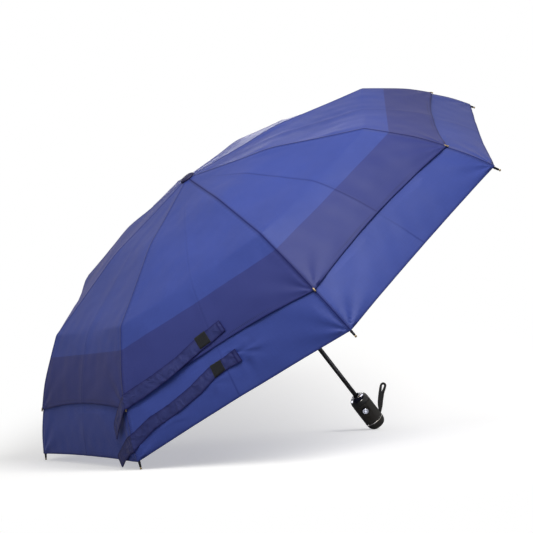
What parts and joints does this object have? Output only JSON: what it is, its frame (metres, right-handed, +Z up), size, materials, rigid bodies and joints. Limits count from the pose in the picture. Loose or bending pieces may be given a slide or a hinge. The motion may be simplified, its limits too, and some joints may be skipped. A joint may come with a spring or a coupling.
{
  "type": "folding umbrella",
  "caption": "Open three-section folding umbrella: vented double canopy on jointed ribs, telescoping shaft, barrel handle with push button and wrist strap.",
  "frame": {"origin": "centre of the flat base of the handle", "axes": "+Z up the shaft to the crown cap; rib 1 lies along +X, ribs numbered anticlockwise seen from above"},
  "size_m": [1.0346, 1.0346, 0.6165],
  "materials": {
    "canopy_fabric": "satin",
    "crown_plastic": "satin",
    "black_plastic": "satin",
    "grip_rubber": "satin",
    "gloss_plastic": "gloss",
    "silver_button": "satin",
    "shaft_steel": "gloss",
    "rib_metal": "satin",
    "nickel": "polished",
    "wrist_webbing": "matte"
  },
  "bodies": {
    "handle": {"handle_shell": "grip_rubber", "handle_base_cap": "grip_rubber", "handle_collar": "gloss_plastic", "handle_core": "black_plastic", "lower_tube": "shaft_steel", "power_spring": "nickel", "button_spring": "nickel"},
    "push_button": {"push_button": "silver_button"},
    "wrist_strap": {"wrist_strap": "wrist_webbing"},
    "middle_tube": {"middle_tube": "shaft_steel"},
    "crown": {"upper_tube": "shaft_steel", "crown_notch": "black_plastic", "crown_ring_wire": "nickel", "crown_cap": "crown_plastic", "canopy_upper": "canopy_fabric", "canopy_lower": "canopy_fabric", "closing_strap_upper": "canopy_fabric", "closing_strap_lower": "canopy_fabric"},
    "top_rib_1": {"top_rib_1": "rib_metal"},
    "stretcher_1": {"stretcher_1": "rib_metal"},
    "middle_rib_1": {"middle_rib_1": "rib_metal"},
    "outer_rib_1": {"outer_rib_1": "rib_metal", "rib_tip_1": "nickel"},
    "top_rib_2": {"top_rib_2": "rib_metal"},
    "stretcher_2": {"stretcher_2": "rib_metal"},
    "middle_rib_2": {"middle_rib_2": "rib_metal"},
    "outer_rib_2": {"outer_rib_2": "rib_metal", "rib_tip_2": "nickel"},
    "top_rib_3": {"top_rib_3": "rib_metal"},
    "stretcher_3": {"stretcher_3": "rib_metal"},
    "middle_rib_3": {"middle_rib_3": "rib_metal"},
    "outer_rib_3": {"outer_rib_3": "rib_metal", "rib_tip_3": "nickel"},
    "top_rib_4": {"top_rib_4": "rib_metal"},
    "stretcher_4": {"stretcher_4": "rib_metal"},
    "middle_rib_4": {"middle_rib_4": "rib_metal"},
    "outer_rib_4": {"outer_rib_4": "rib_metal", "rib_tip_4": "nickel"},
    "top_rib_5": {"top_rib_5": "rib_metal"},
    "stretcher_5": {"stretcher_5": "rib_metal"},
    "middle_rib_5": {"middle_rib_5": "rib_metal"},
    "outer_rib_5": {"outer_rib_5": "rib_metal", "rib_tip_5": "nickel"},
    "top_rib_6": {"top_rib_6": "rib_metal"},
    "stretcher_6": {"stretcher_6": "rib_metal"},
    "middle_rib_6": {"middle_rib_6": "rib_metal"},
    "outer_rib_6": {"outer_rib_6": "rib_metal", "rib_tip_6": "nickel"},
    "top_rib_7": {"top_rib_7": "rib_metal"},
    "stretcher_7": {"stretcher_7": "rib_metal"},
    "middle_rib_7": {"middle_rib_7": "rib_metal"},
    "outer_rib_7": {"outer_rib_7": "rib_metal", "rib_tip_7": "nickel"},
    "top_rib_8": {"top_rib_8": "rib_metal"},
    "stretcher_8": {"stretcher_8": "rib_metal"},
    "middle_rib_8": {"middle_rib_8": "rib_metal"},
    "outer_rib_8": {"outer_rib_8": "rib_metal", "rib_tip_8": "nickel"},
    "runner": {"runner": "black_plastic", "runner_ring_wire": "nickel"}
  },
  "joints": [
    {"name": "middle_tube_slide", "type": "slide", "parent": "handle", "child": "middle_tube", "axis": [0, 0, -1], "range_m": [0, 0.1475]},
    {"name": "upper_tube_slide", "type": "slide", "parent": "middle_tube", "child": "crown", "axis": [0, 0, -1], "range_m": [0, 0.1475]},
    {"name": "push_button_press", "type": "slide", "parent": "handle", "child": "push_button", "axis": [-0.284, -0.9588, 0], "range_m": [0, 0.0015], "stiffness_N_per_m": 800, "springref_m": -0.0006, "deforming": ["button_spring"]},
    {"name": "wrist_strap_swing", "type": "hinge", "parent": "handle", "child": "wrist_strap", "pos_m": [-0.0175, 0.00184, 0.0184], "axis": [-0.1045, -0.9945, 0], "range_deg": [-10, 60]},
    {"name": "canopy_fold", "type": "hinge", "parent": "crown", "child": "top_rib_1", "pos_m": [0.0094, 0, 0.607], "axis": [0, 1, 0], "range_deg": [0, 78], "deforming": ["canopy_upper", "canopy_lower", "closing_strap_upper", "closing_strap_lower"]},
    {"name": "top_rib_hinge_2", "type": "hinge", "parent": "crown", "child": "top_rib_2", "pos_m": [0.00665, 0.00665, 0.607], "axis": [-0.7071, 0.7071, 0], "range_deg": [0, 78]},
    {"name": "top_rib_hinge_3", "type": "hinge", "parent": "crown", "child": "top_rib_3", "pos_m": [0, 0.0094, 0.607], "axis": [-1, 0, 0], "range_deg": [0, 78]},
    {"name": "top_rib_hinge_4", "type": "hinge", "parent": "crown", "child": "top_rib_4", "pos_m": [-0.00665, 0.00665, 0.607], "axis": [-0.7071, -0.7071, 0], "range_deg": [0, 78]},
    {"name": "top_rib_hinge_5", "type": "hinge", "parent": "crown", "child": "top_rib_5", "pos_m": [-0.0094, 0, 0.607], "axis": [0, -1, 0], "range_deg": [0, 78]},
    {"name": "top_rib_hinge_6", "type": "hinge", "parent": "crown", "child": "top_rib_6", "pos_m": [-0.00665, -0.00665, 0.607], "axis": [0.7071, -0.7071, 0], "range_deg": [0, 78]},
    {"name": "top_rib_hinge_7", "type": "hinge", "parent": "crown", "child": "top_rib_7", "pos_m": [0, -0.0094, 0.607], "axis": [1, 0, 0], "range_deg": [0, 78]},
    {"name": "top_rib_hinge_8", "type": "hinge", "parent": "crown", "child": "top_rib_8", "pos_m": [0.00665, -0.00665, 0.607], "axis": [0.7071, 0.7071, 0], "range_deg": [0, 78]},
    {"name": "stretcher_hinge_1", "type": "hinge", "parent": "top_rib_1", "child": "stretcher_1", "pos_m": [0.09779, 0, 0.59008], "axis": [0, 1, 0], "range_deg": [-158, 0]},
    {"name": "stretcher_hinge_2", "type": "hinge", "parent": "top_rib_2", "child": "stretcher_2", "pos_m": [0.06915, 0.06915, 0.59008], "axis": [-0.7071, 0.7071, 0], "range_deg": [-158, 0]},
    {"name": "stretcher_hinge_3", "type": "hinge", "parent": "top_rib_3", "child": "stretcher_3", "pos_m": [0, 0.09779, 0.59008], "axis": [-1, 0, 0], "range_deg": [-158, 0]},
    {"name": "stretcher_hinge_4", "type": "hinge", "parent": "top_rib_4", "child": "stretcher_4", "pos_m": [-0.06915, 0.06915, 0.59008], "axis": [-0.7071, -0.7071, 0], "range_deg": [-158, 0]},
    {"name": "stretcher_hinge_5", "type": "hinge", "parent": "top_rib_5", "child": "stretcher_5", "pos_m": [-0.09779, 0, 0.59008], "axis": [0, -1, 0], "range_deg": [-158, 0]},
    {"name": "stretcher_hinge_6", "type": "hinge", "parent": "top_rib_6", "child": "stretcher_6", "pos_m": [-0.06915, -0.06915, 0.59008], "axis": [0.7071, -0.7071, 0], "range_deg": [-158, 0]},
    {"name": "stretcher_hinge_7", "type": "hinge", "parent": "top_rib_7", "child": "stretcher_7", "pos_m": [0, -0.09779, 0.59008], "axis": [1, 0, 0], "range_deg": [-158, 0]},
    {"name": "stretcher_hinge_8", "type": "hinge", "parent": "top_rib_8", "child": "stretcher_8", "pos_m": [0.06915, -0.06915, 0.59008], "axis": [0.7071, 0.7071, 0], "range_deg": [-158, 0]},
    {"name": "runner_travel", "type": "hinge", "parent": "stretcher_1", "child": "runner", "pos_m": [0.0094, 0, 0.57316], "axis": [0, 1, 0], "range_deg": [0, 80]},
    {"name": "middle_rib_hinge_1", "type": "hinge", "parent": "top_rib_1", "child": "middle_rib_1", "pos_m": [0.18867, 0, 0.58188], "axis": [0, 1, 0], "range_deg": [-187.64, 0]},
    {"name": "outer_rib_hinge_1", "type": "hinge", "parent": "middle_rib_1", "child": "outer_rib_1", "pos_m": [0.35775, 0, 0.52927], "axis": [0, 1, 0], "range_deg": [0, 152.54]},
    {"name": "middle_rib_hinge_2", "type": "hinge", "parent": "top_rib_2", "child": "middle_rib_2", "pos_m": [0.13341, 0.13341, 0.58188], "axis": [-0.7071, 0.7071, 0], "range_deg": [-187.64, 0]},
    {"name": "outer_rib_hinge_2", "type": "hinge", "parent": "middle_rib_2", "child": "outer_rib_2", "pos_m": [0.25297, 0.25297, 0.52927], "axis": [-0.7071, 0.7071, 0], "range_deg": [0, 152.54]},
    {"name": "middle_rib_hinge_3", "type": "hinge", "parent": "top_rib_3", "child": "middle_rib_3", "pos_m": [0, 0.18867, 0.58188], "axis": [-1, 0, 0], "range_deg": [-187.64, 0]},
    {"name": "outer_rib_hinge_3", "type": "hinge", "parent": "middle_rib_3", "child": "outer_rib_3", "pos_m": [0, 0.35775, 0.52927], "axis": [-1, 0, 0], "range_deg": [0, 152.54]},
    {"name": "middle_rib_hinge_4", "type": "hinge", "parent": "top_rib_4", "child": "middle_rib_4", "pos_m": [-0.13341, 0.13341, 0.58188], "axis": [-0.7071, -0.7071, 0], "range_deg": [-187.64, 0]},
    {"name": "outer_rib_hinge_4", "type": "hinge", "parent": "middle_rib_4", "child": "outer_rib_4", "pos_m": [-0.25297, 0.25297, 0.52927], "axis": [-0.7071, -0.7071, 0], "range_deg": [0, 152.54]},
    {"name": "middle_rib_hinge_5", "type": "hinge", "parent": "top_rib_5", "child": "middle_rib_5", "pos_m": [-0.18867, 0, 0.58188], "axis": [0, -1, 0], "range_deg": [-187.64, 0]},
    {"name": "outer_rib_hinge_5", "type": "hinge", "parent": "middle_rib_5", "child": "outer_rib_5", "pos_m": [-0.35775, 0, 0.52927], "axis": [0, -1, 0], "range_deg": [0, 152.54]},
    {"name": "middle_rib_hinge_6", "type": "hinge", "parent": "top_rib_6", "child": "middle_rib_6", "pos_m": [-0.13341, -0.13341, 0.58188], "axis": [0.7071, -0.7071, 0], "range_deg": [-187.64, 0]},
    {"name": "outer_rib_hinge_6", "type": "hinge", "parent": "middle_rib_6", "child": "outer_rib_6", "pos_m": [-0.25297, -0.25297, 0.52927], "axis": [0.7071, -0.7071, 0], "range_deg": [0, 152.54]},
    {"name": "middle_rib_hinge_7", "type": "hinge", "parent": "top_rib_7", "child": "middle_rib_7", "pos_m": [0, -0.18867, 0.58188], "axis": [1, 0, 0], "range_deg": [-187.64, 0]},
    {"name": "outer_rib_hinge_7", "type": "hinge", "parent": "middle_rib_7", "child": "outer_rib_7", "pos_m": [0, -0.35775, 0.52927], "axis": [1, 0, 0], "range_deg": [0, 152.54]},
    {"name": "middle_rib_hinge_8", "type": "hinge", "parent": "top_rib_8", "child": "middle_rib_8", "pos_m": [0.13341, -0.13341, 0.58188], "axis": [0.7071, 0.7071, 0], "range_deg": [-187.64, 0]},
    {"name": "outer_rib_hinge_8", "type": "hinge", "parent": "middle_rib_8", "child": "outer_rib_8", "pos_m": [0.25297, -0.25297, 0.52927], "axis": [0.7071, 0.7071, 0], "range_deg": [0, 152.54]}
  ],
  "couplings": [
    {"joint": "top_rib_hinge_2", "follows": "canopy_fold", "ratio": 1},
    {"joint": "top_rib_hinge_3", "follows": "canopy_fold", "ratio": 1},
    {"joint": "top_rib_hinge_4", "follows": "canopy_fold", "ratio": 1},
    {"joint": "top_rib_hinge_5", "follows": "canopy_fold", "ratio": 1},
    {"joint": "top_rib_hinge_6", "follows": "canopy_fold", "ratio": 1},
    {"joint": "top_rib_hinge_7", "follows": "canopy_fold", "ratio": 1},
    {"joint": "top_rib_hinge_8", "follows": "canopy_fold", "ratio": 1},
    {"joint": "stretcher_hinge_1", "follows": "canopy_fold", "ratio": -2},
    {"joint": "stretcher_hinge_2", "follows": "canopy_fold", "ratio": -2},
    {"joint": "stretcher_hinge_3", "follows": "canopy_fold", "ratio": -2},
    {"joint": "stretcher_hinge_4", "follows": "canopy_fold", "ratio": -2},
    {"joint": "stretcher_hinge_5", "follows": "canopy_fold", "ratio": -2},
    {"joint": "stretcher_hinge_6", "follows": "canopy_fold", "ratio": -2},
    {"joint": "stretcher_hinge_7", "follows": "canopy_fold", "ratio": -2},
    {"joint": "stretcher_hinge_8", "follows": "canopy_fold", "ratio": -2},
    {"joint": "runner_travel", "follows": "canopy_fold", "ratio": 1},
    {"joint": "middle_rib_hinge_1", "follows": "canopy_fold", "ratio": -2.38},
    {"joint": "outer_rib_hinge_1", "follows": "canopy_fold", "ratio": 1.93},
    {"joint": "middle_rib_hinge_2", "follows": "canopy_fold", "ratio": -2.38},
    {"joint": "outer_rib_hinge_2", "follows": "canopy_fold", "ratio": 1.93},
    {"joint": "middle_rib_hinge_3", "follows": "canopy_fold", "ratio": -2.38},
    {"joint": "outer_rib_hinge_3", "follows": "canopy_fold", "ratio": 1.93},
    {"joint": "middle_rib_hinge_4", "follows": "canopy_fold", "ratio": -2.38},
    {"joint": "outer_rib_hinge_4", "follows": "canopy_fold", "ratio": 1.93},
    {"joint": "middle_rib_hinge_5", "follows": "canopy_fold", "ratio": -2.38},
    {"joint": "outer_rib_hinge_5", "follows": "canopy_fold", "ratio": 1.93},
    {"joint": "middle_rib_hinge_6", "follows": "canopy_fold", "ratio": -2.38},
    {"joint": "outer_rib_hinge_6", "follows": "canopy_fold", "ratio": 1.93},
    {"joint": "middle_rib_hinge_7", "follows": "canopy_fold", "ratio": -2.38},
    {"joint": "outer_rib_hinge_7", "follows": "canopy_fold", "ratio": 1.93},
    {"joint": "middle_rib_hinge_8", "follows": "canopy_fold", "ratio": -2.38},
    {"joint": "outer_rib_hinge_8", "follows": "canopy_fold", "ratio": 1.93}
  ]
}
